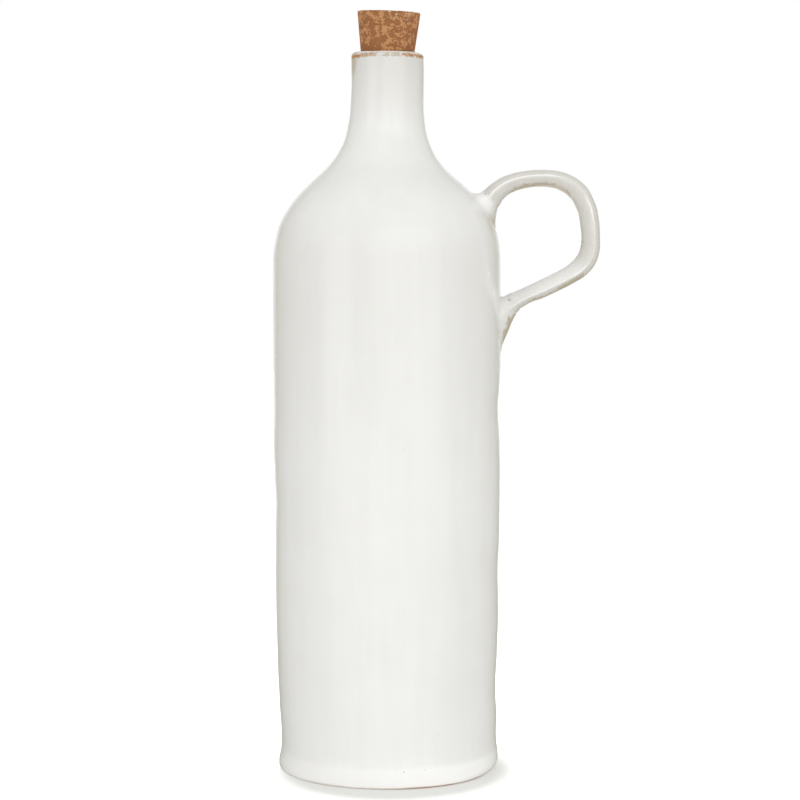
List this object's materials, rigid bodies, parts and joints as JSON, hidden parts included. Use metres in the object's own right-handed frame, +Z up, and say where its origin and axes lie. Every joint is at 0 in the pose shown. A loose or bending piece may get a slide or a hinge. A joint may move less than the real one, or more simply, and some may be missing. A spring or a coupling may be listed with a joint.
{
  "type": "oil bottle",
  "caption": "Slim hand-thrown stoneware bottle with a narrow neck, a pulled strap handle beside the shoulder and a tapered cork stopper that lifts out.",
  "frame": {"origin": "on the bottle's axis, at the plane that its foot rests on", "axes": "+Z up along the bottle's axis, +X towards the handle, -Y towards the picture's camera"},
  "size_m": [0.1311, 0.0918, 0.3034],
  "materials": {
    "glaze": "off-white satin gloss glaze that breaks tan where it runs thin",
    "cork": "matt grained cork"
  },
  "bodies": {
    "bottle": {"bottle": "glaze"},
    "stopper": {"cork_stopper": "cork"}
  },
  "joints": [
    {"name": "cork_pull", "type": "slide", "parent": "bottle", "child": "stopper", "axis": [0, 0, 1], "range_m": [0, 0.05]}
  ]
}
